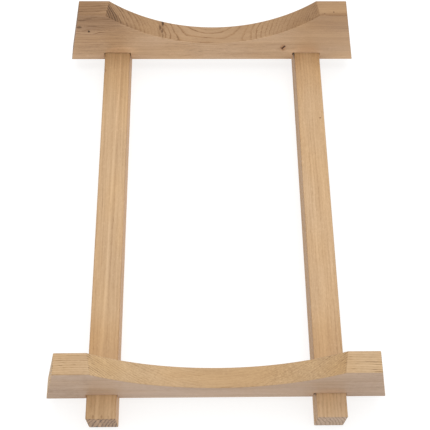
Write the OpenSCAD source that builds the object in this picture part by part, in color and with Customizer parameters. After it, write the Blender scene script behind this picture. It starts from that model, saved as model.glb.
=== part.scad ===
// Ham holder stand: two cradle boards, each with a shallow arc cut in its top
// edge, housed over two parallel rails and screwed to them from underneath.
// Each arc slopes a little towards the middle of the stand, to follow the ham.
// Frame: millimetres, +Z up, the rails run along Y, the cradles along X.
// Left is -X, the front is -Y.
// The origin is on the table, at the centre of the stand's footprint.

/* [Cradles] */
// Length of a cradle along its underside
cradle_len = 400; // [380:5:460]
// Height of a cradle board, underside to shoulders
cradle_h = 96; // [90:1:110]
// Thickness of a cradle board
cradle_t = 25; // [22:1:32]
// Lean of each end face, in degrees, so that the underside is the longer edge
end_slant = 12; // [0:1:15]
// Radius of the arc that the ham lies in
arc_radius = 205; // [190:1:215]
// Depth of that arc below the shoulders, in the middle of the board's thickness
arc_depth = 57; // [48:1:60]
// How much lower the arc lies on a cradle's inner face than on its outer face
arc_fall = 4; // [0:0.5:6]

/* [Rails] */
// Width of a rail
rail_w = 35; // [32:1:45]
// Height of a rail
rail_h = 40; // [34:1:50]
// Distance between the centre lines of the two rails
rail_spacing = 268; // [250:2:290]
// Distance between the centre planes of the two cradles
cradle_pitch = 490; // [380:5:560]
// How far each rail runs past the outer face of a cradle
overhang = 28; // [15:1:60]

/* [Joints] */
// Depth of the housing in a cradle's underside that drops over a rail
housing_depth = 14; // [8:1:18]
// Total side play of a rail in its housing
housing_play = 1.4; // [0.4:0.1:2]
// Share of that play which lies on the inner side of the right rail
inner_share = 0.85; // [0.5:0.05:0.9]
// Distance between the two screws of one crossing
screw_spacing = 18; // [14:1:20]
// Depth of the counterbore that hides a screw head under a rail
counterbore_depth = 8; // [5:1:12]

/* [Screws] */
// Overall length of a screw
screw_len = 60; // [50:5:60]
// Outside diameter of the screw thread
screw_d = 5; // [4:0.5:5]
// Diameter of the countersunk head
head_d = 9.8; // [8.6:0.2:10]
// Pitch of the screw thread
thread_pitch = 2.8; // [2.2:0.1:3.2]

/* [Finish] */
// Bevel that eases the long edges of the boards
edge = 1; // [0.5:0.1:1.5]

/* [Hidden] */

$fn = 128;
eps = 0.1;   // small overrun of a conical cutter
cut = 1;     // overrun of any other cutter

oak_front = [0.79, 0.65, 0.49];
oak_rear = [0.75, 0.60, 0.45];
oak_rail = [0.80, 0.66, 0.51];
steel = [0.62, 0.63, 0.65];

// sides along X, ends along Y, and the faces of a cradle along its own Y
left = -1;
right = 1;
front = -1;
rear = 1;
outer = -1;
inner = 1;

// boards
rail_len = cradle_pitch + cradle_t + 2 * overhang;
cradle_z = rail_h - housing_depth;              // underside of the cradles
end_inset = cradle_h * tan(end_slant);          // how much shorter the top is at each end
left_inner_share = 0.5;                         // the left rail is centred in its housing

// arc
arc_tilt = atan(arc_fall / cradle_t);           // slope of the arc across the board
arc_rise = arc_radius / cos(arc_tilt);          // the tilted arc's radius, measured upright
arc_cz = cradle_h - arc_depth + arc_rise;       // arc centre above a cradle's underside
arc_spare = 10;                                 // extra length of the arc's cutter

// screws
core_r = screw_d * 0.36;                        // body of the screw between its threads
shank_r = screw_d * 0.44;                       // plain shank under the head
head_r = head_d / 2;
head_rim = 0.4;                                 // straight rim of the head
recess_len = 4.8;                               // each arm of the cross recess, tip to tip
recess_w = 1;
recess_depth = 2;
thread_start = screw_len * 0.40;
shank_taper = 1;                                // length of the step from shank to core
tip_len = 6;
turns = floor((screw_len - tip_len - thread_start) / thread_pitch);
// profile of one turn: [height as a share of the pitch, radius]
turn_profile = [[0.15, core_r], [0.5, screw_d/2], [0.8, core_r]];

// holes for the screws
clear_r = screw_d / 2 + 0.25;                   // clearance hole through a rail
bore_r = head_r + 0.35;                         // counterbore under a rail
pilot_r = screw_d / 2 + 0.05;                   // hole in a cradle, just outside the thread
pilot_spare = 2;                                // depth of that hole beyond the screw's tip
seat_gap = 0.02;                                // room left under the seated head
screw_z = counterbore_depth + bore_r - head_r - head_rim - seat_gap; // the head's flat face
bite = screw_z + screw_len - rail_h;            // depth of the screw in a cradle

// extrudes a profile along X, centred; the profile's upright becomes Z
module along_x(length) {
  translate([-length/2, 0, 0]) rotate([90, 0, 90]) linear_extrude(length) children();
}

// extrudes a profile along Y, centred; the profile's upright becomes Z
module along_y(length) {
  translate([0, length/2, 0]) rotate([90, 0, 0]) linear_extrude(length) children();
}

// rectangle centred on x, sitting on y = 0, with eased corners
module eased_rect(width, height) {
  side = width / 2;
  polygon([[-side + edge, 0], [side - edge, 0], [side, edge], [side, height - edge],
           [side - edge, height], [-side + edge, height],
           [-side, height - edge], [-side, edge]]);
}

// block centred on x and y, sitting on z = 0, all twelve edges eased
module eased_block(width, length, height) {
  intersection() {
    along_y(length) eased_rect(width, height);
    along_x(width) eased_rect(length, height);
    translate([0, -length/2, 0]) linear_extrude(height) eased_rect(width, length);
  }
}

// places children at the two screws of a crossing, on the rail at one side
module at_screws(side) {
  for (k = [-1, 1])
    translate([side * rail_spacing / 2 + k * screw_spacing / 2, 0, 0]) children();
}

// half the arc's width at the shoulders, on a face where it is this deep
function half_chord(depth) = arc_radius * sqrt(1 - pow(1 - depth / arc_rise, 2));

// radius of the circle through the arc's bottom and its two ends on that face
function outline_r(depth) = (pow(half_chord(depth), 2) + depth * depth) / (2 * depth);

// cutter that bevels the arc's edge on the outer or inner face
module arc_bevel(face) {
  depth = arc_depth + face * arc_fall / 2;
  radius = outline_r(depth);
  translate([0, face * (cradle_t/2 + eps), cradle_h - depth + radius])
    rotate([face * 90, 0, 0])
      cylinder(r1 = radius + edge + eps, r2 = radius - cut, h = edge + eps + cut);
}

// cutter for the arc, falling towards the inner face
module arc_cutter() {
  translate([0, 0, arc_cz]) rotate([-90 - arc_tilt, 0, 0])
    cylinder(r = arc_radius, h = cradle_t + 2 * arc_radius * sin(arc_tilt) + arc_spare,
             center = true);
}

// cutter for a housing, its low-x face set off from the rail by a share of the play
module housing(side, low_x_share) {
  translate([side * rail_spacing/2 - rail_w/2 - housing_play * low_x_share,
             -cradle_t/2 - cut, -cut])
    cube([rail_w + housing_play, cradle_t + 2 * cut, housing_depth + cut]);
}

// cradle board before its cuts: leaning ends, level shoulders, eased long edges
module cradle_blank() {
  intersection() {
    along_y(cradle_t)
      polygon([[-cradle_len/2, 0], [cradle_len/2, 0],
               [cradle_len/2 - end_inset, cradle_h],
               [-cradle_len/2 + end_inset, cradle_h]]);
    along_x(cradle_len) eased_rect(cradle_t, cradle_h);
  }
}

// one cradle board, centred on x and y, its underside on z = 0, its inner face towards +y
module cradle() {
  difference() {
    cradle_blank();
    arc_cutter();
    for (face = [outer, inner]) arc_bevel(face);
    housing(left, 1 - left_inner_share);
    housing(right, inner_share);
    // holes for the screws, up from the roof of each housing
    for (side = [left, right]) at_screws(side)
      translate([0, 0, housing_depth - cut])
        cylinder(r = pilot_r, h = bite + pilot_spare + cut);
  }
}

// hole for one screw, up through a rail from its underside
module rail_hole() {
  translate([0, 0, -cut]) cylinder(r = clear_r, h = rail_h + 2 * cut);
  translate([0, 0, -cut]) cylinder(r = bore_r, h = counterbore_depth + cut);
  // seat for the countersunk head
  translate([0, 0, counterbore_depth - eps])
    cylinder(r1 = bore_r + eps, r2 = clear_r, h = bore_r - clear_r + eps);
}

// one rail, its underside on z = 0, drilled and counterbored at both crossings
module rail(side) {
  difference() {
    translate([side * rail_spacing/2, 0, 0]) eased_block(rail_w, rail_len, rail_h);
    for (end = [front, rear])
      translate([0, end * cradle_pitch/2, 0]) at_screws(side) rail_hole();
  }
}

// one countersunk wood screw, head face down on z = 0, point up; its threads are rings
module screw() {
  difference() {
    rotate_extrude() polygon(concat(
      [[0, 0], [head_r, 0], [head_r, head_rim], [shank_r, head_rim + head_r - shank_r],
       [shank_r, thread_start - shank_taper], [core_r, thread_start]],
      [for (i = [0 : turns - 1], point = turn_profile)
        [point[1], thread_start + (i + point[0]) * thread_pitch]],
      [[core_r, screw_len - tip_len], [0, screw_len]]));
    // cross recess in the head
    for (angle = [0, 90]) rotate([0, 0, angle])
      translate([-recess_len/2, -recess_w/2, -cut])
        cube([recess_len, recess_w, recess_depth + cut]);
  }
}

// the two screws of one crossing
module screw_pair(side, end) {
  color(steel) translate([0, end * cradle_pitch/2, screw_z]) at_screws(side) screw();
}

module front_cradle() {
  color(oak_front) translate([0, -cradle_pitch/2, cradle_z]) cradle();
}
module rear_cradle() {
  color(oak_rear) translate([0, cradle_pitch/2, cradle_z]) mirror([0, 1, 0]) cradle();
}
module left_rail() color(oak_rail) rail(left);
module right_rail() color(oak_rail) rail(right);
module front_left_screws() screw_pair(left, front);
module front_right_screws() screw_pair(right, front);
module rear_left_screws() screw_pair(left, rear);
module rear_right_screws() screw_pair(right, rear);

front_cradle();
rear_cradle();
left_rail();
right_rail();
front_left_screws();
front_right_screws();
rear_left_screws();
rear_right_screws();
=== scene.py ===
"""An oak stand: two cradles on edge, notched over two rails, held by steel screws.

Row frame: X along the cradles (left is -X), Y along the rails (front is -Y), Z up.
Lengths are millimetres unless noted. Meshes are written in metres.
"""
import itertools
import math

import bmesh
import bpy
import numpy as np
from mathutils import Matrix, Vector


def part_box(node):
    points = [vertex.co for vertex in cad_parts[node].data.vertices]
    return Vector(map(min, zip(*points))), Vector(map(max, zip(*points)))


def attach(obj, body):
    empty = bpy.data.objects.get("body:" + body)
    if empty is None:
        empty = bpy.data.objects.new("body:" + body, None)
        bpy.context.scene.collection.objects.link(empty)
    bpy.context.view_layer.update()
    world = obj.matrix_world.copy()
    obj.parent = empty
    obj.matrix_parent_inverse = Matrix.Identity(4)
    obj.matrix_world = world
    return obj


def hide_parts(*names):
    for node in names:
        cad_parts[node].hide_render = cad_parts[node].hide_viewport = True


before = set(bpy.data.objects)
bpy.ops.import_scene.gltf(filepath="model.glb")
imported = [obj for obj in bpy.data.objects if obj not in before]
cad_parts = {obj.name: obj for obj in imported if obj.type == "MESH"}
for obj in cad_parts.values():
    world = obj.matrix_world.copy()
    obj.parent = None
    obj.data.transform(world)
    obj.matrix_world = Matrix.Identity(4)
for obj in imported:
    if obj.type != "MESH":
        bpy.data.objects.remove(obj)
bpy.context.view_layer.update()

MM = 0.001


def node_box(name):
    lo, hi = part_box(name)
    return np.array(lo) / MM, np.array(hi) / MM


FRONT_LO, FRONT_HI = node_box("front_cradle")
REAR_LO, REAR_HI = node_box("rear_cradle")
LEFT_LO, LEFT_HI = node_box("left_rail")
RIGHT_LO, RIGHT_HI = node_box("right_rail")

# cradles
LENGTH = FRONT_HI[0] - FRONT_LO[0]        # along the underside
HALF = LENGTH / 2
THICK = FRONT_HI[1] - FRONT_LO[1]
HEIGHT = FRONT_HI[2] - FRONT_LO[2]
SLANT = math.tan(math.radians(12.0))      # lean of the end faces
EASE = 1.15                               # radius of the eased edges

# the arc in a cradle's top, which falls by ARC_FALL towards the inner face
ARC_R, ARC_DEPTH, ARC_FALL = 205.0, 57.0, 4.0
ARC_RISE = ARC_R / math.cos(math.atan(ARC_FALL / THICK))   # the tilted arc's upright radius
SHIFT_FULL, SHIFT_NONE = 2.0, 10.5        # from the arc's ends, where columns follow them

# housings, the notches that fit over the rails
HOUSING = LEFT_HI[2] - FRONT_LO[2]
ROOF_GAP = 0.2                            # shadow line over a rail
ROOF = HOUSING + ROOF_GAP
PLAY, INNER_SHARE = 1.4, 0.85             # extra width; the right one's share on its inner side
LEFT_NOTCH = LEFT_LO[0] - PLAY * 0.5, LEFT_HI[0] + PLAY * 0.5
RIGHT_NOTCH = RIGHT_LO[0] - PLAY * INNER_SHARE, RIGHT_HI[0] + PLAY * (1 - INNER_SHARE)

# mesh spacing
GUARD = EASE + 0.45                       # width of the cells next to an edge
COLUMN_STEP, DEPTH_STEP, ROW_STEP = 1.3, 1.2, 1.25
UPPER_ROWS = 44
RAIL_SECTION_STEP, RAIL_LENGTH_STEP = 1.35, 1.5

# screws and their holes
RAIL_X, SCREW_X = 134.0, 9.0              # rail centre, and a screw's distance from it
PITCH_Y = (REAR_LO[1] + REAR_HI[1]) / 2
SCREW_LENGTH, THREAD_START, THREAD_PITCH = 60.0, 24.0, 2.8
CORE_R, MAJOR_R, SHANK_R = 1.8, 2.5, 2.2
BORE_R, CLEAR_R, BORE_D = 5.25, 2.75, 8.0
BORE_CHAMFER, OVERRUN = 0.35, 1.0
HEAD_R, HEAD_EDGE, HEAD_GAP = 4.9, 0.4, 0.02   # the head's rim and its gap to the bore's cone
HEAD_Z = BORE_D + BORE_R - HEAD_R - HEAD_EDGE - HEAD_GAP
HOLE_SLACK, HOLE_TIP, HOLE_TIP_R = 2, 1.5, 0.4
ROUND = np.linspace(0, 2 * math.pi, 48, endpoint=False)


# ---------------------------------------------------------------- noise
def cell_hash(cell, seed):
    bits = (cell[:, 0] * 374761393 + cell[:, 1] * 668265263 + cell[:, 2] * 2147483647
            + seed * 974711) & 0xFFFFFFFF
    bits = ((bits ^ (bits >> 13)) * 1274126177) & 0xFFFFFFFF
    bits = (bits ^ (bits >> 16)) & 0xFFFFFFFF
    return bits / 4294967295.0 * 2 - 1


def value_noise(points, seed):
    """Smooth value noise in [-1, 1] at points (n, 3)."""
    cell = np.floor(points).astype(np.int64)
    part = points - cell
    part = part * part * part * (part * (part * 6 - 15) + 10)
    out = np.zeros(len(points))
    for corner in itertools.product((0, 1), repeat=3):
        wx, wy, wz = (part[:, k] if corner[k] else 1 - part[:, k] for k in range(3))
        out += wx * wy * wz * cell_hash(cell + corner, seed)
    return out


def smoothstep(start, end, x):
    t = np.clip((x - start) / (end - start), 0, 1)
    return t * t * (3 - 2 * t)


# ---------------------------------------------------------------- meshes
def spaced(start, end, step, guard):
    """Even values about step apart, with first and last cells guard wide."""
    count = max(1, int(round((end - start - 2 * guard) / step)))
    inner = np.linspace(start + guard, end - guard, count + 1).tolist()
    return np.array([start] + inner + [end])


class Patches:
    """Grids of quads that share their borders, merged into one closed mesh."""

    def __init__(self):
        self.verts, self.quads, self.count = [], [], 0

    def add(self, x, y, z):
        """Adds a grid whose coordinates broadcast to (m, n)."""
        x, y, z = np.broadcast_arrays(x, y, z)
        self.verts.append(np.stack([x, y, z], -1).reshape(-1, 3))
        k = np.arange(x.size).reshape(x.shape) + self.count
        corners = [k[:-1, :-1], k[1:, :-1], k[1:, 1:], k[:-1, 1:]]
        self.quads.append(np.stack(corners, -1).reshape(-1, 4))
        self.count += x.size

    def mesh(self):
        verts, quads = np.concatenate(self.verts), np.concatenate(self.quads)
        _, first, merged = np.unique(np.round(verts, 4), axis=0, return_index=True,
                                     return_inverse=True)
        return verts[first], merged.reshape(-1)[quads]


def to_bmesh(verts, faces):
    me = bpy.data.meshes.new("tmp")
    me.from_pydata(verts, [], faces)
    bm = bmesh.new()
    bm.from_mesh(me)
    bpy.data.meshes.remove(me)
    bmesh.ops.recalc_face_normals(bm, faces=bm.faces)
    return bm


def to_mesh(bm, name):
    me = bpy.data.meshes.new(name)
    bm.to_mesh(me)
    bm.free()
    return me


def link(name, data):
    ob = bpy.data.objects.new(name, data)
    bpy.context.collection.objects.link(ob)
    return ob


def shade_smooth(me, sharp_deg):
    me.polygons.foreach_set("use_smooth", np.ones(len(me.polygons), bool))
    me.set_sharp_from_angle(angle=math.radians(sharp_deg))


def ease_edges(bm, min_deg=25.0):
    """Rounds the outward edges that turn by more than min_deg."""
    edges = [e for e in bm.edges if len(e.link_faces) == 2
             and e.calc_face_angle_signed(0.0) > math.radians(min_deg)]
    bmesh.ops.bevel(bm, geom=edges, offset=EASE, offset_type="OFFSET", segments=3,
                    profile=0.5, affect="EDGES", clamp_overlap=True, loop_slide=True)


def refine(bm, centre, radius, times=2, shrink=0.22):
    """Splits the faces within radius of centre, so that a small feature can be pressed in."""
    centre = Vector(centre)
    for k in range(times):
        reach = radius * (1.0 - shrink * k)
        faces = [f for f in bm.faces if (f.calc_center_median() - centre).length < reach]
        edges = list({e for f in faces for e in f.edges})
        bmesh.ops.subdivide_edges(bm, edges=edges, cuts=1, use_grid_fill=True)


def surface_wave(places, normals, seed, amount=0.05):
    """Hand-sanded surfaces are never quite flat."""
    layers = ((48, 30, 0.6), (17, 11, 0.3), (5.5, 5.0, 0.1))   # cell x, cell y and z, weight
    wave = sum(value_noise(places * [1 / long, 1 / wide, 1 / wide], seed + k) * weight
               for k, (long, wide, weight) in enumerate(layers))
    return places - normals * (amount * (0.5 + 0.5 * wave))[:, None]


def pit(places, normals, centre, size, depth):
    """A dent of that size (per axis) and depth, pressed in along the normals."""
    reach = np.linalg.norm((places - np.array(centre)) / np.array(size), axis=1)
    return places - normals * (depth * (1 - smoothstep(0.35, 1.0, reach)))[:, None]


# where a piece's mesh is refined: (place, radius)
FINE = {
    "front_cradle": [((115.0, -257.5, 38.8), 5.0)],
    "rear_cradle": [
        ((98.6, 232.5, 52.3), 5.5), ((-181.6, 232.5, 96.5), 6.0), ((-167.7, 232.5, 88.0), 5.0),
        ((161.6, 238.3, 122.0), 3.0), ((149.3, 235.7, 122.0), 3.0), ((115.0, 232.5, 38.8), 5.0),
        ((-69.5, 237.0, 76.0), 6.0), ((-69.5, 245.0, 77.5), 6.0), ((-69.5, 252.5, 79.0), 6.0)],
    "left_rail": [((-150.7, 202.9, 40.0), 6.0)],
    "right_rail": [((145.8, 124.0, 40.0), 3.0)],
}
# what is pressed in there: (place, half sizes, depth)
PITS = {
    "front_cradle": [((114.9, -257.5, 38.8), (1.9, 3.0, 2.2), 1.3)],
    "rear_cradle": [
        ((98.8, 232.5, 53.0), (3.2, 3.0, 4.2), 0.40), ((99.5, 232.5, 53.8), (1.0, 2.0, 2.4), 0.4),
        ((114.9, 232.5, 38.8), (1.9, 3.0, 2.4), 1.3),
        ((-181.6, 232.5, 96.5), (3.0, 2.0, 1.3), 0.25),
        ((-167.7, 232.5, 88.0), (1.5, 2.0, 1.1), 0.35),
        ((161.6, 238.3, 122.0), (0.8, 0.8, 1.0), 0.35),
        ((149.3, 235.7, 122.0), (0.7, 0.7, 1.0), 0.3),
        ((-68.3, 236.5, 76.0), (0.9, 4.0, 3.0), 0.4), ((-71.5, 243.5, 78.0), (0.8, 5.0, 3.0), 0.35),
        ((-68.0, 253.0, 79.5), (1.2, 4.5, 3.0), 0.5)],
    "left_rail": [((-151.3, 202.9, 39.6), (2.2, 2.6, 2.2), 0.7)],
    "right_rail": [((145.8, 124.0, 40.0), (1.3, 1.0, 1.0), 0.35)],
}


def timber(name, verts, quads, lo, hi, seed, flat_underside=False):
    """Eases, waves and dents a sharp-edged board, and keeps it inside its box."""
    bm = to_bmesh(verts.tolist(), quads.tolist())
    ease_edges(bm)
    for centre, radius in FINE[name]:
        refine(bm, centre, radius)
    bm.verts.ensure_lookup_table()
    bm.normal_update()
    places = np.array([v.co for v in bm.verts])
    normals = np.array([v.normal for v in bm.verts])
    moved = surface_wave(places, normals, seed)
    for centre, size, depth in PITS[name]:
        moved = pit(moved, normals, centre, size, depth)
    if flat_underside:
        flat = (np.abs(normals[:, 2]) > 0.99) & (places[:, 2] < 1)
        moved[flat] = places[flat]
    for vert, place in zip(bm.verts, np.minimum(np.maximum(moved, lo), hi)):
        vert.co = place
    return bm


def finish_timber(bm, name):
    me = to_mesh(bm, name)
    places = np.zeros(len(me.vertices) * 3, np.float64)
    me.vertices.foreach_get("co", places)
    me.vertices.foreach_set("co", places * MM)
    me.update()
    shade_smooth(me, sharp_deg=40.0)
    me.validate()
    return link(name, me)


# ---------------------------------------------------------------- turned solids
def ring(cx, cy, z, radius, angles):
    radius = np.broadcast_to(radius, angles.shape)
    return np.stack([cx + radius * np.cos(angles), cy + radius * np.sin(angles),
                     np.full(angles.shape, float(z))], -1)


def lathe(rows):
    """Rows of (n, 3) points round an axis, closed with a fan at each end."""
    around = len(rows[0])
    index = np.arange(around * len(rows)).reshape(-1, around)
    faces = []
    for a, b in zip(index[:-1], index[1:]):
        faces += np.stack([a, b, np.roll(b, -1), np.roll(a, -1)], -1).tolist()
    verts = np.concatenate(rows).tolist()
    for k in (0, -1):
        loop = index[k].tolist()
        faces += [[loop[j], loop[(j + 1) % around], len(verts)] for j in range(around)]
        verts.append(rows[k].mean(0).tolist())
    return verts, faces


def join(solids):
    verts, faces = [], []
    for more_verts, more_faces in solids:
        start = len(verts)
        verts += more_verts
        faces += [[i + start for i in face] for face in more_faces]
    return verts, faces


def cut(bm, cutters, name):
    """Cuts the turned cutters out of bm with an exact boolean."""
    target = link(name + "_t", to_mesh(bm, name + "_t"))
    cutter = link(name + "_c", to_mesh(to_bmesh(*join(cutters)), name + "_c"))
    mod = target.modifiers.new("cut", "BOOLEAN")
    mod.operation, mod.solver, mod.object = "DIFFERENCE", "EXACT", cutter
    evaluated = target.evaluated_get(bpy.context.evaluated_depsgraph_get())
    out = bmesh.new()
    out.from_mesh(evaluated.to_mesh())
    evaluated.to_mesh_clear()
    for ob in (target, cutter):
        me = ob.data
        bpy.data.objects.remove(ob)
        bpy.data.meshes.remove(me)
    return out


def turned_cutter(cx, cy, profile):
    """profile: (height, radius)."""
    return lathe([ring(cx, cy, z, radius, ROUND) for z, radius in profile])


def rail_cutter(cx, cy, top):
    """A chamfered bore from below that narrows in a cone to the clearance hole."""
    return turned_cutter(cx, cy, [
        (-OVERRUN, BORE_R + BORE_CHAMFER), (0.0, BORE_R + BORE_CHAMFER), (BORE_CHAMFER, BORE_R),
        (BORE_D, BORE_R), (BORE_D + BORE_R - CLEAR_R, CLEAR_R), (top + OVERRUN, CLEAR_R)])


def cradle_cutter(cx, cy, bottom, top):
    radius = MAJOR_R + 0.05
    return turned_cutter(cx, cy, [(bottom, radius), (top, radius), (top + HOLE_TIP, HOLE_TIP_R)])


def screw_xs(side):
    return side * RAIL_X - SCREW_X, side * RAIL_X + SCREW_X


# ---------------------------------------------------------------- cradles
def arc_half(depth):
    """Half the width of the arc at the shoulders, where it is that deep."""
    return ARC_R * np.sqrt(1 - (1 - depth / ARC_RISE) ** 2)


ARC_HALF = float(arc_half(ARC_DEPTH))


def columns(*stops):
    """Columns through all the stops, with a guard cell on each side of them."""
    out = []
    for start, end in zip(stops[:-1], stops[1:]):
        out += spaced(start, end, COLUMN_STEP, GUARD).tolist()[:-1]
    return np.array(out + [stops[-1]])


def upper_rows(tops):
    """Row heights from the housings' roof to the top edge, which is at heights tops."""
    share = np.linspace(0, 1, UPPER_ROWS)
    inner = (ROOF + GUARD) + (tops - GUARD - ROOF - GUARD)[:, None] * share[None, :]
    return np.concatenate([np.full((len(tops), 1), ROOF), inner, tops[:, None]], 1)


def cradle_grid(inward):
    """A board on edge with an arc in its top, leaning ends and two housings.
    inward: +1 or -1, the Y side of the board that faces the other cradle."""
    def depth(y):
        return ARC_DEPTH + inward * y / THICK * ARC_FALL

    def shifted(x, y):
        """Columns near the arc's ends follow them across the sloping cut."""
        away = np.abs(x)
        near = 1 - smoothstep(SHIFT_FULL, SHIFT_NONE, np.abs(away - ARC_HALF))
        return np.sign(x) * (away + (arc_half(depth(y)) - ARC_HALF) * near)

    def top(x, y):
        away, deep = np.abs(x), depth(y)
        arc = HEIGHT - deep + ARC_RISE * (1 - np.sqrt(np.maximum(1 - (away / ARC_R) ** 2, 0)))
        return np.where(away < arc_half(deep) - 1e-6, arc, HEIGHT)

    sides = (-THICK / 2, THICK / 2)
    across = spaced(*sides, DEPTH_STEP, GUARD)[None, :]
    lower = spaced(0, ROOF, ROW_STEP, GUARD)
    patches = Patches()
    # over the housings, and the full-height block between them
    for xs, bottom in ((columns(LEFT_NOTCH[0], -ARC_HALF, LEFT_NOTCH[1]), ROOF),
                       (columns(LEFT_NOTCH[1], RIGHT_NOTCH[0]), 0),
                       (columns(RIGHT_NOTCH[0], ARC_HALF, RIGHT_NOTCH[1]), ROOF)):
        for y in sides:
            x = shifted(xs, y)
            patches.add(x[:, None], y, upper_rows(top(x, y)))
            if bottom == 0:
                patches.add(x[:, None], y, lower[None, :])
        x = shifted(xs[:, None], across)
        patches.add(x, across, top(x, across))
        patches.add(x, across, bottom)
    # leaning ends, outside the housings
    rows = np.concatenate([lower, upper_rows(np.array([HEIGHT]))[0][1:]])
    for side, wall in ((-1, LEFT_NOTCH[0]), (1, RIGHT_NOTCH[1])):
        width = HALF - side * wall
        share = spaced(0, 1, COLUMN_STEP / width, GUARD / width)[:, None]   # 0 at the housing

        def end_x(z):
            return side * (HALF - z * SLANT)

        for y in sides:
            patches.add(wall + share * (end_x(rows)[None, :] - wall), y, rows[None, :])
        for z in (0.0, HEIGHT):
            patches.add(wall + share * (end_x(z) - wall), across, z)
        patches.add(end_x(rows)[:, None], across, rows[:, None])
    for wall in LEFT_NOTCH + RIGHT_NOTCH:
        patches.add(wall, across, lower[:, None])
    return patches.mesh()


def cradle(name, lo, hi, seed, inward):
    verts, quads = cradle_grid(inward)
    middle = (lo[1] + hi[1]) / 2
    bm = timber(name, verts + [0, middle, lo[2]], quads, lo, hi, seed)
    holes = [cradle_cutter(x, middle, lo[2] + HOUSING - HOLE_SLACK,
                           HEAD_Z + SCREW_LENGTH + HOLE_SLACK)
             for side in (-1, 1) for x in screw_xs(side)]
    return finish_timber(cut(bm, holes, name), name + "_oak")


# ---------------------------------------------------------------- rails
def rail(name, lo, hi, seed, side):
    steps = (RAIL_SECTION_STEP, RAIL_LENGTH_STEP, RAIL_SECTION_STEP)
    xs, ys, zs = (spaced(lo[k], hi[k], steps[k], GUARD) for k in range(3))
    patches = Patches()
    for z in (lo[2], hi[2]):
        patches.add(xs[:, None], ys[None, :], z)
    for x in (lo[0], hi[0]):
        patches.add(x, ys[:, None], zs[None, :])
    for y in (lo[1], hi[1]):
        patches.add(xs[:, None], y, zs[None, :])
    bm = timber(name, *patches.mesh(), lo, hi, seed, flat_underside=True)
    holes = [rail_cutter(x, y, hi[2]) for y in (-PITCH_Y, PITCH_Y) for x in screw_xs(side)]
    return finish_timber(cut(bm, holes, name), name + "_oak")


# ---------------------------------------------------------------- screws
RECESS_ARM, RECESS_HALF = 2.35, 0.5       # the cross recess: length and half width of an arm
RECESS = [(2.6, 0.28), (2.3, 0.62), (0.35, 0.93), (0.08, 0.97)]   # height, share of the cross
SHAFT = [(0.0, 4.62), (0.07, 4.8), (0.2, 4.88), (0.36, 4.88), (0.46, 4.8), (1.6, 3.68),
         (2.9, 2.45), (3.3, 2.24), (3.7, SHANK_R), (10.0, SHANK_R), (20.0, SHANK_R),
         (23.0, SHANK_R), (THREAD_START, CORE_R)]                 # height, radius


def thread_radius(z, angles):
    end = SCREW_LENGTH - 1.0
    taper = 1 - 0.9 * smoothstep(SCREW_LENGTH - 7, SCREW_LENGTH, z)
    phase = np.mod(z / THREAD_PITCH - angles / (2 * math.pi), 1.0)
    ridge = np.clip(1 - np.abs(phase - 0.5) / 0.2, 0, 1)
    fade = (smoothstep(THREAD_START, THREAD_START + 3, z)
            * (1 - smoothstep(SCREW_LENGTH - 4, end, z)))
    radius = CORE_R * taper + (MAJOR_R - CORE_R) * ridge * fade * min(1.0, 0.25 + taper)
    return np.maximum(radius, 0.2)


def screw(cx, cy, turn):
    """A countersunk wood screw, head down, with a helical thread and a cross recess."""
    corner = math.degrees(math.atan2(RECESS_HALF, RECESS_ARM))
    offsets = [-45, -33, -22, -corner, -corner / 2, 0, corner / 2, corner, 22, 33]
    angles = np.radians([90 * arm + o for arm in range(4) for o in offsets])
    from_arm = np.radians(np.tile(offsets, 4))
    cross = np.where(np.abs(from_arm) <= math.radians(corner) + 1e-6,
                     RECESS_ARM / np.cos(from_arm),
                     RECESS_HALF / np.maximum(np.abs(np.sin(from_arm)), 1e-6))
    angles = angles + turn

    def row(z, radius):
        return ring(cx, cy, HEAD_Z + z, radius, angles)

    rows = [row(z, cross * share) for z, share in RECESS]
    rows += [row(0, cross + 0.06), row(0, np.maximum(cross + 0.3, 3.2))]
    rows += [row(z, radius) for z, radius in SHAFT]
    for z in np.arange(THREAD_START + 0.2, SCREW_LENGTH - 1.0, 0.2):
        rows.append(row(z, thread_radius(z, angles)))
    # the tip is placed from the head's level, as every other row
    rows.append(ring(cx, cy, HEAD_Z + SCREW_LENGTH - 0.2, 0.1, angles))
    return lathe(rows)


def screw_pair(name, side, y):
    verts, faces = join(screw(x, y, turn + side * 0.2 + y * 0.001)
                        for x, turn in zip(screw_xs(side), (0.35, 1.1)))
    me = to_mesh(to_bmesh((np.array(verts) * MM).tolist(), faces), name)
    shade_smooth(me, sharp_deg=35)
    return link(name, me)


# ---------------------------------------------------------------- build
pieces = {
    "front_cradle": cradle("front_cradle", FRONT_LO, FRONT_HI, seed=11, inward=1),
    "rear_cradle": cradle("rear_cradle", REAR_LO, REAR_HI, seed=23, inward=-1),
    "left_rail": rail("left_rail", LEFT_LO, LEFT_HI, seed=37, side=-1),
    "right_rail": rail("right_rail", RIGHT_LO, RIGHT_HI, seed=41, side=1),
}
for row_name, row_y in (("front", -PITCH_Y), ("rear", PITCH_Y)):
    for side_name, side in (("left", -1), ("right", 1)):
        name = f"{row_name}_{side_name}_screws"
        pieces[name] = screw_pair(name + "_steel", side, row_y)

for name, ob in pieces.items():
    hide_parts(name)
    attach(ob, "root")


# ---------------------------------------------------------------- material graphs
class Num:
    """A number in a node tree. Arithmetic on it adds nodes."""

    def __init__(self, graph, socket):
        self.graph, self.socket = graph, socket

    def __add__(self, other):
        return self.graph.op("ADD", self, other)

    def __radd__(self, other):
        return self.graph.op("ADD", other, self)

    def __sub__(self, other):
        return self.graph.op("SUBTRACT", self, other)

    def __rsub__(self, other):
        return self.graph.op("SUBTRACT", other, self)

    def __mul__(self, other):
        return self.graph.op("MULTIPLY", self, other)

    def __truediv__(self, other):
        return self.graph.op("DIVIDE", self, other)


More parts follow.
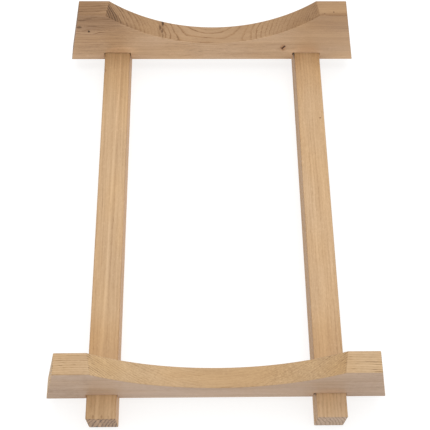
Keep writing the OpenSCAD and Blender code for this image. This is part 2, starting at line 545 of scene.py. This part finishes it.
class Graph:
    """A node material, written as expressions. Coordinates are in millimetres."""

    def __init__(self, name):
        self.mat = bpy.data.materials.new(name)
        self.mat.use_nodes = True
        self.tree = self.mat.node_tree
        self.tree.nodes.clear()

    def node(self, kind, **props):
        node = self.tree.nodes.new(kind)
        for key, value in props.items():
            setattr(node, key, value)
        return node

    def put(self, socket, value):
        if isinstance(value, Num):
            value = value.socket
        if isinstance(value, bpy.types.NodeSocket):
            self.tree.links.new(value, socket)
        else:
            socket.default_value = value

    def fill(self, node, *values):
        for socket, value in zip(node.inputs, values):
            self.put(socket, value)

    def op(self, kind, a, b=0.0, clamp=False):
        node = self.node("ShaderNodeMath", operation=kind, use_clamp=clamp)
        self.fill(node, a, b, 0.0)
        return Num(self, node.outputs[0])

    def size(self, x):
        return self.op("ABSOLUTE", x)

    def bell(self, squared):
        """1 where squared is 0, falling to 0 all round."""
        return self.op("POWER", 2.718, squared * -1.0)

    def step(self, start, end, x, low=0.0, high=1.0):
        node = self.node("ShaderNodeMapRange", interpolation_type="SMOOTHSTEP")
        self.fill(node, x, start, end, low, high)
        return Num(self, node.outputs[0])

    def noise(self, x, y, z, detail=0.0, rough=0.5):
        """Noise of about -1 to 1, in cells of size 1."""
        node = self.node("ShaderNodeTexNoise", noise_dimensions="3D")
        vector = self.node("ShaderNodeCombineXYZ")
        self.fill(vector, x, y, z)
        self.put(node.inputs["Vector"], vector.outputs[0])
        for key, value in (("Scale", 1.0), ("Detail", detail), ("Roughness", rough)):
            node.inputs[key].default_value = value
        return (Num(self, node.outputs[0]) - 0.5) * 2.0

    def random(self, w):
        node = self.node("ShaderNodeTexWhiteNoise", noise_dimensions="1D")
        self.put(node.inputs["W"], w)
        return Num(self, node.outputs["Value"])

    def split(self, socket):
        node = self.node("ShaderNodeSeparateXYZ")
        self.tree.links.new(socket, node.inputs[0])
        return [Num(self, out) for out in node.outputs]

    def place(self):
        coords = self.node("ShaderNodeTexCoord")
        return [c * 1000.0 for c in self.split(coords.outputs["Object"])]

    def facing(self):
        """The true surface normal's part along each axis."""
        return self.split(self.node("ShaderNodeNewGeometry").outputs["True Normal"])

    def ramp(self, x, stops):
        """stops: (position, colour). x is clamped."""
        node = self.node("ShaderNodeValToRGB")
        elements = node.color_ramp.elements
        while len(elements) > 1:
            elements.remove(elements[-1])
        elements[0].position, elements[0].color = stops[0][0], (*stops[0][1], 1)
        for position, colour in stops[1:]:
            elements.new(position).color = (*colour, 1)
        self.put(node.inputs[0], self.op("ADD", x, 0.0, clamp=True))
        return node.outputs[0]

    def mix(self, factor, a, b, blend="MIX"):
        node = self.node("ShaderNodeMix", data_type="RGBA", blend_type=blend, clamp_result=False)
        self.put(node.inputs["Factor"], factor)
        for socket, value in ((node.inputs[6], a), (node.inputs[7], b)):
            self.put(socket, (*value, 1) if isinstance(value, tuple) else value)
        return node.outputs[2]

    def tinted(self, colour, tint):
        return self.mix(1.0, colour, tint, "MULTIPLY")

    def tinted_where(self, colour, mask, tint):
        return self.tinted(colour, self.mix(mask, (1.0, 1.0, 1.0), tint))

    def finish(self, colour, rough, height, metal=0.0, spec=0.5, glow=0.0):
        """height: relief in mm. glow: light the surface gives off itself."""
        bsdf = self.node("ShaderNodeBsdfPrincipled")
        out = self.node("ShaderNodeOutputMaterial")
        for key, value in (("Base Color", colour), ("Roughness", rough), ("Metallic", metal),
                           ("Specular IOR Level", spec), ("Emission Strength", glow)):
            self.put(bsdf.inputs[key], value)
        bump = self.node("ShaderNodeBump")
        for key, value in (("Strength", 1.0), ("Distance", MM), ("Height", height)):
            self.put(bump.inputs[key], value)
        self.tree.links.new(bump.outputs[0], bsdf.inputs["Normal"])
        self.tree.links.new(bsdf.outputs[0], out.inputs[0])
        return self.mat


# ---------------------------------------------------------------- oak
OAK_TONES = [(0.0, (0.050, 0.026, 0.014)), (0.22, (0.215, 0.122, 0.062)),
             (0.46, (0.385, 0.243, 0.136)), (0.72, (0.505, 0.341, 0.205)),
             (1.0, (0.620, 0.441, 0.285))]
COOL, WARM = (0.985, 1.0, 1.035), (1.015, 1.0, 0.955)
RAYS = 0.08                               # strength of the pale rays


class Board(Graph):
    """A graph whose axes are along the grain, across it and up."""

    def __init__(self, name, grain, seed):
        super().__init__(name)
        self.grain, self.seed = grain, seed
        self.offset = seed * 7.31
        self.xyz = self.place()
        self.axes = self.grain_order(*self.xyz)

    def grain_order(self, x, y, z):
        return (x, y, z) if self.grain == "X" else (y, x, z)

    def fibres(self, length, width, detail=0.0, rough=0.5, shift=None):
        """Noise in cells that long and wide. shift is in cells, per axis."""
        shift = shift or (self.offset, 0, 0)
        cells = [c / size + s if s else c / size
                 for c, size, s in zip(self.axes, (length, width, width), shift)]
        return self.noise(*cells, detail, rough)

    def distance(self, place, half_sizes):
        px, py, pz = [(c - p) / s for c, p, s in zip(self.xyz, place, half_sizes)]
        return self.op("SQRT", px * px + py * py + pz * pz)


def pith_distance(g, pith, tilt, spacing, wander, knots, swells, slow, mid):
    """The bent distance from the pith line, and the offsets from it across and up."""
    along, across, up = g.axes
    bent = up
    for place, spread, strength in knots:
        dl, da, du = [(c - p) / s for c, p, s in zip(g.axes, g.grain_order(*place), spread)]
        bent = bent - (up - place[2]) * (g.bell(dl * dl + du * du + da * da) * strength)
    fine = g.fibres(9.0, 1.3, shift=(g.offset, 0, 5.7))
    off_across = across - pith[0] - along * tilt[0]
    off_up = bent - pith[1] - along * tilt[1]
    radius = (g.op("SQRT", off_across * off_across + off_up * off_up) + slow * wander
              + mid * (0.40 * spacing) + fine * (0.07 * spacing))
    for place, width, amount, middle in swells:
        d = (along - place) / width
        radius = radius + (across - middle) * amount * g.bell(d * d)
    return radius, off_across, off_up


def ring_lines(g, radius, spacing, band, dash, gains, cap):
    """The strength of the dark early wood, of uneven width, broken into dashes and patches."""
    along, across, up = g.axes
    count = radius / spacing + g.noise(radius / (spacing * 5.0), g.offset, 0.0) * 0.9
    number = g.op("FLOOR", count)
    phase = count - number
    strength = g.random(number + g.seed * 0.37)
    if isinstance(band, tuple):
        band = g.step(band[0], band[1], along, band[2], band[3])
    early = g.op("MAXIMUM", g.step(band, 0.0, phase), g.step(0.90, 1.0, phase))
    dashes = g.noise(along / dash + g.offset, number * 5.17, (across + up) / 14.0)
    broken = g.step(-0.35, 0.35, dashes)
    patchy = g.step(-0.45, 0.5, g.fibres(42.0, 7.0, 1.0, shift=(g.offset, 0, 1.7)))
    line = early * (strength * 0.9 + 0.5) * (patchy * 0.45 + 0.55) * (broken * 0.5 + 0.65)
    for start, end, amount in gains:
        line = line * g.step(start, end, along, 1.0, amount)
    return g.op("MINIMUM", line, cap)


def darkness(g, spots, wedges, sloping, mid):
    x, y, _ = g.xyz
    masks = []
    for place, half_sizes, amount, ragged in spots:
        d = g.distance(place, half_sizes)
        edge = g.fibres(2.2, 1.1, 2.0, 0.6) * ragged
        masks.append(g.step(1.15, 0.45, d + edge) * amount)
    for x0, y0, slope, soft, amount in wedges:
        side = x - x0 - (y - y0) * slope + mid * 0.7
        masks.append(g.step(soft, -soft, side) * sloping * amount)
    dark = masks[0]
    for mask in masks[1:]:
        dark = g.op("MAXIMUM", dark, mask)
    return dark


def oak(name, grain, *, seed, pith, tilt, spacing, wander, dash, rings, pores, tone, grit,
        streaks, shade, gains, lights, spots, tint=(1, 1, 1), end_tint_and_painted_light=(1, 1, 1), end_tone=0.12,
        end_rings=0.55, fibre=1.0, band=0.42, cap=1.25, speckle=(0.0, 1.0, 0.9, 0.9),
        line_tint=None, slope_tint=None, flames=0.0, tones_and_painted_light=(), swells=(), stripes=(), knots=(),
        wedges=()):
    """Oak with growth rings round a pith line, pores in the early wood, rays and fibres.
    Amounts add to the place on OAK_TONES, where 1 is palest.
    grain: its axis. pith: the pith line's place in the other two axes at the object's centre.
    tilt: how far that line drifts per millimetre of grain. spacing: width of a ring.
    wander: how far rings stray. dash: length of the breaks in a ring line.
    rings, pores, grit, streaks, fibre: strengths. tone: the base. tint: over everything.
    band: share of a ring that is early wood, or (from, to, share, share) along the grain.
    cap: the strongest a ring line gets. line_tint: colour of the ring lines over the rest.
    end_tone, end_rings, end_tint_and_painted_light: darkness, ring strength and tint of the end
    grain; on the front cradle end_tint_and_painted_light is painted light, lightening its leaning
    end faces for the light they catch from the left and from above.
    speckle: (from, to, amount, amount) of the cut arc's coarser grain, along the grain.
    slope_tint: colour of the cut arc towards its two ends.
    flames: long bands on the broad faces of a cradle.
    shade: tints of the side faces (those across the grain: a cradle's broad faces or a rail's
    flanks), then of the rest;
    partly the board's own colour and partly painted shade, faces lighter or darker by how they point
    to the light.
    tones: (from, to, amount) lightens or darkens beyond a place along the grain; on the rails this
    is painted light on the overhang in front of the front cradle and painted shade towards the rear
    cradle.
    gains: (from, to, factor) strengthens the rings from one place along the grain on.
    swells: (place, half width, amount, middle) bends the rings across the board there.
    stripes: (place across, drift, half width, amount) lightens or darkens a streak.
    knots: (place, spread along, across and up, strength) bends the rings round a point.
    spots: (place, half sizes, darkness, raggedness) darkens round a point; mostly the wood's own
    knots, dents and streaks, and a few painted shadows in chips and along an edge.
    wedges: (x, y, slope, softness, darkness) darkens the cut arc on one side of a line; partly the
    wood's colour and partly painted shade on the arc's steep ends.
    lights: (place, half sizes, amount or tint) lightens or tints round a point; partly the wood's
    own colour and partly painted light and painted shade, such as lifted shade where a cradle meets
    a rail."""
    g = Board(name, grain, seed)
    along, across, up = g.axes
    offset = g.offset
    normal_along, normal_across, normal_up = g.grain_order(*g.facing())
    end = g.step(0.15, 1.0, g.size(normal_along))
    face = g.step(0.5, 0.95, g.size(normal_across))
    sloping = g.step(0.97, 0.93, normal_up) * g.step(0.2, 0.4, normal_up)      # the cut arc

    slow = g.fibres(170.0, 60.0, 1.0)
    mid = g.fibres(38.0, 10.0, 1.0, shift=(offset, 3.1, 0))
    radius, off_across, off_up = pith_distance(g, pith, tilt, spacing, wander, knots, swells,
                                               slow, mid)
    line = ring_lines(g, radius, spacing, band, dash, gains, cap)

    # pores crowd in the ring lines; rays run outwards from the pith
    pore = g.step(0.16, 0.42, g.fibres(7.5, 0.42)) * (line * 0.85 + 0.15)
    speck = g.step(0.25, 0.5, g.fibres(3.2, 0.2, shift=(0, 0, offset)))
    round_pith = g.op("ARCTAN2", off_up, off_across) * 70.0
    ray = g.step(0.22, 0.5, g.noise(along / 5.5 + offset, radius / 9.0, round_pith / 0.55, 1.0))
    ray_fine = g.noise(along / 1.6, radius / 4.0 + offset, round_pith / 0.22)

    # fibres from fine to broad
    coarse_grain = g.fibres(3.0, 1.5, 2.0, 0.7)
    long_fibre = g.fibres(70.0, 1.1, 2.0, 0.6)
    thin_fibre = g.fibres(26.0, 0.38, 1.0, shift=(0, offset, 0))
    streak = g.fibres(130.0, 2.4, 1.0, shift=(offset, 0, 9.1))
    broad = g.fibres(150.0, 9.0, 1.0)
    cloud = g.fibres(60.0, 26.0, 2.0)

    # the level on OAK_TONES: each layer times its strength
    level = tone - line * rings - pore * pores - speck * 0.05 + ray * RAYS + ray_fine * (0.10 * RAYS)
    level = (level + long_fibre * (0.16 * fibre) + thin_fibre * (0.08 * fibre)
             + broad * 0.13 + cloud * 0.07)
    end_pores = g.step(0.05, 0.5, g.noise(across / 0.9, up / 0.9, along / 9.0 + offset, 1.0))
    end_patches = g.noise(across / 9.0 + offset, up / 5.0, 2.0, 1.0)
    level = level - end * (line * end_rings + end_pores * 0.17 + end_tone + end_patches * 0.12)
    arc_grit = sloping * g.step(speckle[0], speckle[1], along, speckle[2], speckle[3])
    level = level + coarse_grain * (arc_grit + 1.0) * grit + streak * streaks
    if flames:
        bands = g.noise(along / 55.0 + offset, 3.3, up / 5.0 + mid * 0.15, 1.0)
        level = level + face * bands * flames
    # painted light and painted shade along the grain, besides the wood's own tone: on the rails,
    # lighter past the front cradle and darker towards the rear one
    for start, stop, amount in tones_and_painted_light:
        level = level + g.step(start, stop, along, 0.0, amount)
    for place, drift, width, amount in stripes:
        d = (across - place - along * drift + slow * 2.0 + mid * 0.7) / width
        level = level + g.bell(d * d) * amount
    # darkening from spots and wedges: mostly the wood's own marks, partly painted shadow in the
    # housing chips and painted shade along an edge and on the arc's steep ends
    dark = darkness(g, spots, wedges, sloping, mid)
    level = level * (1.0 - dark)

    colour = g.ramp(level, OAK_TONES)
    warm = g.step(-0.5, 0.5, g.fibres(90.0, 30.0, 1.0, shift=(0, offset, 0)))
    colour = g.mix(warm, g.tinted(colour, COOL), g.tinted(colour, WARM))
    # on the front cradle the end tint is painted light on the end faces
    end_colour_and_painted_light = tuple(a * b for a, b in zip(tint, end_tint_and_painted_light))
    colour = g.tinted(colour, g.mix(end, tint, end_colour_and_painted_light))
    if line_tint:
        colour = g.tinted_where(colour, g.op("MULTIPLY", line, 0.8, clamp=True), line_tint)
    if slope_tint:
        colour = g.tinted_where(colour, sloping * g.step(35.0, 105.0, g.size(along)), slope_tint)
    # painted light and painted shade, mixed with some of the wood's own colour: each entry lightens,
    # darkens or tints round a point
    for place, half_sizes, amount in lights:
        factor = amount if isinstance(amount, tuple) else (1.0 + amount,) * 3
        mask = g.step(1.15, 0.35, g.distance(place, half_sizes))
        colour = g.tinted_where(colour, mask, factor)
    # painted shade, partly the board's own colour: faces across the grain and the rest each get
    # their own tint
    colour = g.tinted(colour, g.mix(face, shade[1], shade[0]))

    # pores and darkened places, marks and painted shade alike, are rougher and sunk; rays are
    # smoother
    rough = 0.53 + pore * 0.18 + line * 0.05 - ray * 0.06 + cloud * 0.05 + dark * 0.2
    height = long_fibre * 0.012 - pore * 0.07 - line * 0.012 - speck * 0.012 - dark * 0.06
    return g.finish(colour, rough, height, spec=0.45)


def front_cradle_oak():
    return oak(
        "oak_front_cradle", "X", seed=3, pith=(-309.0, 160.0), tilt=(0.02, 0.03), spacing=2.3,
        wander=2.5, dash=7.0, rings=0.09, pores=0.11, tone=0.86, grit=0.17, streaks=0.05,
        # end_tint_and_painted_light: painted light, lightening the leaning end faces for the light
        # they catch from the left and from above
        fibre=1.35, flames=0.17, cap=3.0, end_tone=0.0, end_tint_and_painted_light=(1.29, 1.25, 1.09),
        tint=(0.885, 0.845, 0.735), line_tint=(1.0, 0.99, 0.95), slope_tint=(0.92, 0.95, 1.01),
        shade=[(0.905, 0.925, 1.13), (0.99, 0.975, 0.945)], speckle=(-70.0, 0.0, 1.1, 2.4),
        gains=[(-50.0, 60.0, 0.7), (136.0, 146.0, 4.4), (-138.0, -146.0, 3.1)],
        tones_and_painted_light=[(-125.0, -150.0, -0.05), (125.0, 150.0, 0.02)],
        wedges=[(112.0, -245.0, 0.0, -26.0, 0.27)],
        lights=[
            # painted light: the first two lift the shade on the front face just over the two
            # housings; the other two tint the right flat and the middle of the arc
            ((-134.0, -257.5, 36.0), (27.0, 4.0, 17.0), 0.25),
            ((134.0, -257.5, 40.0), (27.0, 4.0, 21.0), 0.23),
            ((164.0, -245.0, 122.0), (26.0, 20.0, 5.0), (1.0, 1.03, 1.08)),
            ((10.0, -245.0, 66.0), (85.0, 20.0, 30.0), (0.98, 0.965, 0.925))],
        spots=[
            ((70.0, -245.0, 80.0), (120.0, 30.0, 60.0), 0.12, 0.0),
            ((180.0, -257.5, 66.0), (42.0, 3.0, 60.0), 0.11, 0.2),
            ((-190.0, -257.5, 50.0), (34.0, 3.0, 54.0), 0.09, 0.2),
            # painted shadow: a near-black spot in the chip at the right housing's corner
            ((115.2, -257.5, 38.4), (2.9, 3.0, 4.4), 0.97, 0.15)])


def rear_cradle_oak():
    return oak(
        "oak_rear_cradle", "X", seed=8, pith=(210.0, 160.0), tilt=(0.004, -0.01), spacing=2.7,
        wander=2.0, dash=16.0, rings=0.27, pores=0.28, tone=0.78, grit=0.12, streaks=0.05,
        fibre=1.15, flames=0.11, cap=1.8, band=(-60.0, -95.0, 0.32, 0.62),
        line_tint=(1.02, 0.98, 0.89), shade=[(1.06, 1.02, 0.985), (0.69, 0.60, 0.48)],
        speckle=(-60.0, -20.0, 0.9, 1.5),
        gains=[(-126.0, -116.0, 0.56), (-80.0, -60.0, 2.9), (-20.0, 5.0, 0.72),
               (25.0, 45.0, 0.9), (78.0, 96.0, 0.45)],
        swells=[(-5.0, 34.0, 0.55, 245.0), (0.0, 95.0, -0.20, 245.0)],
        wedges=[(-139.0, 252.4, -1.02, 1.2, 0.42), (95.0, 233.8, 1.0, -14.0, 0.21)],
        lights=[
            # painted light: the first two lift the shade on the inner face just over the two
            # housings; the other two tint the knot and lighten the arc a little
            ((-128.0, 232.5, 42.0), (28.0, 4.0, 18.0), 0.20),
            ((130.0, 232.5, 42.0), (30.0, 4.0, 18.0), 0.20),
            ((99.3, 232.5, 52.4), (4.8, 3.0, 8.6), (1.08, 0.94, 0.86)),
            ((-38.0, 245.0, 76.0), (34.0, 18.0, 22.0), 0.04)],
        knots=[
            ((98.6, 232.5, 52.3), (9.0, 14.0, 8.0), 0.85),
            ((-176.0, 232.5, 93.0), (30.0, 34.0, 15.0), 0.62),
            ((-181.6, 232.5, 96.5), (10.0, 16.0, 6.0), 0.6),
            ((-167.7, 232.5, 88.0), (10.0, 16.0, 6.0), 0.6),
            ((-69.5, 244.0, 77.0), (10.0, 20.0, 8.0), 0.4)],
        spots=[
            # the knot right of the middle, on the inner face
            ((98.6, 232.5, 53.2), (8.5, 3.5, 9.0), 0.18, 0.4),
            ((99.2, 232.5, 52.6), (3.9, 3.0, 6.8), 0.30, 0.3),
            ((96.1, 232.5, 53.2), (1.2, 3.0, 3.6), 0.60, 0.2),
            ((99.8, 232.5, 47.6), (2.8, 3.0, 1.5), 0.55, 0.2),
            ((98.6, 232.5, 58.2), (2.6, 3.0, 1.4), 0.45, 0.2),
            ((98.2, 232.5, 51.0), (1.8, 3.0, 2.6), 0.96, 0.2),
            ((99.5, 232.5, 53.3), (1.9, 3.0, 2.8), 0.98, 0.2),
            ((100.9, 232.5, 55.5), (1.9, 3.0, 2.6), 0.96, 0.2),
            # the two knots near the left end
            ((-181.0, 232.5, 97.5), (5.2, 2.5, 3.4), 0.80, 0.4),
            ((-168.8, 232.5, 88.5), (2.2, 2.5, 3.0), 0.95, 0.3),
            # dents across the arc
            ((-69.0, 254.5, 78.0), (2.0, 5.5, 6.0), 0.85, 0.5),
            ((-72.6, 247.0, 78.5), (1.7, 5.0, 6.0), 0.70, 0.6),
            ((-69.8, 242.5, 77.5), (1.5, 4.0, 6.0), 0.72, 0.6),
            ((-68.8, 235.5, 77.0), (1.5, 4.5, 6.0), 0.50, 0.6),
            ((-70.3, 246.0, 78.0), (6.0, 16.0, 9.0), 0.22, 0.6),
            # broad shading of the two horns and below the arc
            ((-172.0, 246.0, 122.0), (46.0, 17.0, 9.0), 0.40, 0.3),
            ((-165.0, 232.5, 112.0), (70.0, 6.0, 34.0), 0.48, 0.3),
            ((-165.0, 232.5, 95.0), (78.0, 8.0, 50.0), 0.28, 0.3),
            ((168.0, 232.5, 112.0), (66.0, 6.0, 34.0), 0.38, 0.2),
            ((165.0, 232.5, 95.0), (75.0, 8.0, 50.0), 0.17, 0.2),
            ((0.0, 232.5, 57.0), (130.0, 4.0, 10.0), 0.12, 0.3),
            # short streaks on the left horn
            ((-167.0, 232.5, 115.0), (9.0, 3.0, 2.6), 0.64, 0.5),
            ((-176.0, 232.5, 111.5), (8.0, 3.0, 2.6), 0.62, 0.5),
            ((-158.0, 232.5, 118.5), (8.0, 3.0, 2.2), 0.60, 0.5),
            ((-163.0, 232.5, 100.5), (17.0, 3.0, 2.4), 0.60, 0.5),
            ((-131.0, 232.5, 101.0), (10.0, 3.0, 1.9), 0.56, 0.4),
            # top of the right horn, with painted shade along its front edge and two small pits; and
            # the pit by the right housing, painted near black as its shadow
            ((166.0, 232.6, 121.4), (27.0, 2.0, 2.0), 0.50, 0.2),
            ((161.6, 238.3, 122.0), (1.2, 1.2, 1.0), 0.8, 0.1),
            ((149.3, 235.7, 122.0), (1.0, 1.0, 1.0), 0.7, 0.1),
            ((114.9, 232.5, 38.6), (2.4, 3.0, 3.6), 0.92, 0.2)])


def left_rail_oak():
    return oak(
        "oak_left_rail", "Y", seed=15, pith=(-14.0, -8.0), tilt=(0.006, 0.012), spacing=4.7,
        wander=3.0, dash=40.0, rings=0.10, pores=0.18, tone=0.80, grit=0.14, streaks=0.14,
        end_rings=0.13, end_tone=0.42, end_tint_and_painted_light=(1.0, 0.98, 1.01), tint=(0.93, 0.865, 0.73),
        # shade: painted light, the flanks tinted warmer towards the top's colour to even out how
        # differently they are lit
        shade=[(1.04, 0.95, 0.83), (1.0, 1.0, 1.0)], gains=[(-240.0, -262.0, 2.3)],
        # painted light and painted shade: the top is lighter past the front cradle, lifting its
        # shade, and darker towards the rear cradle, which shades it
        tones_and_painted_light=[(-250.0, -262.0, 0.06), (150.0, 230.0, -0.06)],
        stripes=[(-133.3, 0.0175, 1.5, 0.19), (-129.6, 0.0175, 1.4, -0.08)],
        lights=[
            # painted shade and painted light: the first and third entries paint the top darker and
            # more orange next to each cradle, for their shadow and the light they throw back; the
            # fourth lifts the front cradle's shade off the top in front of it, and the last darkens
            # the very end
            ((-134.0, -205.0, 40.0), (60.0, 50.0, 20.0), (0.975, 0.92, 0.81)),
            ((-130.4, 160.0, 40.0), (2.6, 85.0, 8.0), (1.11, 1.12, 1.16)),
            ((-134.0, 222.0, 40.0), (60.0, 92.0, 20.0), (0.92, 0.895, 0.85)),
            ((-134.0, -260.0, 40.0), (26.0, 10.0, 6.0), 0.07),
            ((-134.0, -287.0, 40.0), (30.0, 14.0, 6.0), -0.06)],
        spots=[
            ((-150.7, 202.9, 40.0), (2.4, 3.2, 2.4), 0.35, 0.4),
            ((-142.7, -282.6, 40.0), (1.5, 2.6, 1.5), 0.42, 0.3),
            ((-132.8, -282.8, 40.0), (1.4, 2.4, 1.5), 0.42, 0.3),
            ((-124.8, -283.2, 40.0), (1.2, 2.0, 1.5), 0.25, 0.3)])


def right_rail_oak():
    return oak(
        "oak_right_rail", "Y", seed=21, pith=(14.0, -8.0), tilt=(-0.004, 0.01), spacing=4.3,
        wander=3.0, dash=22.0, rings=0.11, pores=0.18, tone=0.81, grit=0.20, streaks=0.11,
        end_rings=0.05, end_tone=0.345, end_tint_and_painted_light=(0.97, 1.05, 1.30), tint=(0.95, 0.89, 0.765),
        # shade: painted shade, the flanks tinted darker brown than the top
        shade=[(0.76, 0.68, 0.55), (1.0, 1.0, 1.0)], gains=[(-240.0, -262.0, 3.0)],
        # painted light and painted shade: the top is lighter past the front cradle, lifting its
        # shade, and darker towards the rear cradle, which shades it
        tones_and_painted_light=[(-250.0, -262.0, 0.14), (150.0, 230.0, -0.06)],
        lights=[
            # painted shade and painted light: the first two paint the top darker and more orange
            # next to each cradle, for their shadow and the light they throw back; the third lifts
            # the front cradle's shade off the top in front of it, and the last darkens the very end
            # a little
            ((134.0, -205.0, 40.0), (60.0, 50.0, 20.0), (0.965, 0.93, 0.86)),
            ((134.0, 215.0, 40.0), (60.0, 62.0, 20.0), (0.99, 0.975, 0.94)),
            ((134.0, -260.0, 40.0), (26.0, 10.0, 6.0), 0.06),
            ((134.0, -287.0, 40.0), (30.0, 14.0, 6.0), -0.02)],
        spots=[((145.8, 124.0, 40.0), (1.6, 1.3, 1.2), 0.65, 0.2)])


# ---------------------------------------------------------------- other materials
STEEL_TONES = [(0.0, (0.36, 0.355, 0.35)), (0.5, (0.57, 0.575, 0.59)), (1.0, (0.70, 0.705, 0.72))]


def screw_steel():
    """Stainless steel with fine marks round each screw, blotches and dust."""
    g = Graph("screw_steel")
    x, y, z = g.place()
    scratch = g.noise(x / 0.9, y / 0.9, z / 0.05, detail=1.0)
    blotch = g.noise(x / 2.5, y / 2.5, z / 4.0, detail=2.0)
    dust = g.step(0.25, 0.6, g.noise(x / 0.35, y / 0.35, z / 0.35, detail=1.0))
    level = 0.5 + scratch * 0.22 + blotch * 0.3 - dust * 0.15
    return g.finish(g.ramp(level, STEEL_TONES), metal=1.0,
                    rough=0.31 + blotch * 0.08 + dust * 0.2 + scratch * 0.05,
                    height=scratch * 0.006 - dust * 0.004)


def floor_white():
    """A matt floor that glows as a light table does."""
    g = Graph("floor_white")
    x, y, z = g.place()
    rough = 0.9 + g.noise(x / 400.0, y / 400.0, z, detail=1.0) * 0.02
    return g.finish((0.30, 0.30, 0.30, 1), rough, height=0.0, glow=0.74)


MATERIALS = {"front_cradle": front_cradle_oak(), "rear_cradle": rear_cradle_oak(),
             "left_rail": left_rail_oak(), "right_rail": right_rail_oak()}
STEEL = screw_steel()
for name, ob in pieces.items():
    ob.data.materials.clear()
    ob.data.materials.append(MATERIALS.get(name, STEEL))

# ---------------------------------------------------------------- stage, in metres
bm = bmesh.new()
bmesh.ops.create_circle(bm, cap_ends=True, radius=14.0, segments=96)
floor = link("floor", to_mesh(bm, "floor"))
floor.data.materials.append(floor_white())

scene = bpy.context.scene
scene.view_settings.view_transform = "Standard"
scene.view_settings.look = "None"
scene.view_settings.exposure = 0.0
scene.view_settings.gamma = 1.0

world = bpy.data.worlds.new("studio")
world.use_nodes = True
background = world.node_tree.nodes["Background"]
background.inputs["Color"].default_value = (1, 1, 1, 1)
background.inputs["Strength"].default_value = 0.86
scene.world = world

# a round soft light overhead, aimed at the origin
light = bpy.data.lights.new("soft_box", "AREA")
light.shape = "DISK"
light.size = 2.2
light.energy = 30
soft_box = link("soft_box", light)
soft_box.location = (0.1, 0.35, 2.6)
soft_box.rotation_euler = (-soft_box.location).to_track_quat("-Z", "Y").to_euler()
soft_box.visible_camera = False

# ---------------------------------------------------------------- camera
camera = bpy.data.cameras.new("camera")
camera.sensor_width = 36.0
camera.sensor_fit = "AUTO"
camera.lens = 73.6869767
camera.clip_start, camera.clip_end = 0.05, 60
camera_place = (-0.01937, -0.53107, 1.05013)
pitch, yaw, roll = (math.radians(a) for a in (-63.309, -2.272, -1.798))
turn = (Matrix.Rotation(yaw, 3, "Z") @ Matrix.Rotation(pitch, 3, "X")
        @ Matrix.Rotation(roll, 3, "Y") @ Matrix.Rotation(math.radians(90), 3, "X"))
camera_object = link("camera", camera)
camera_object.matrix_world = Matrix.Translation(camera_place) @ turn.to_4x4()
scene.camera = camera_object
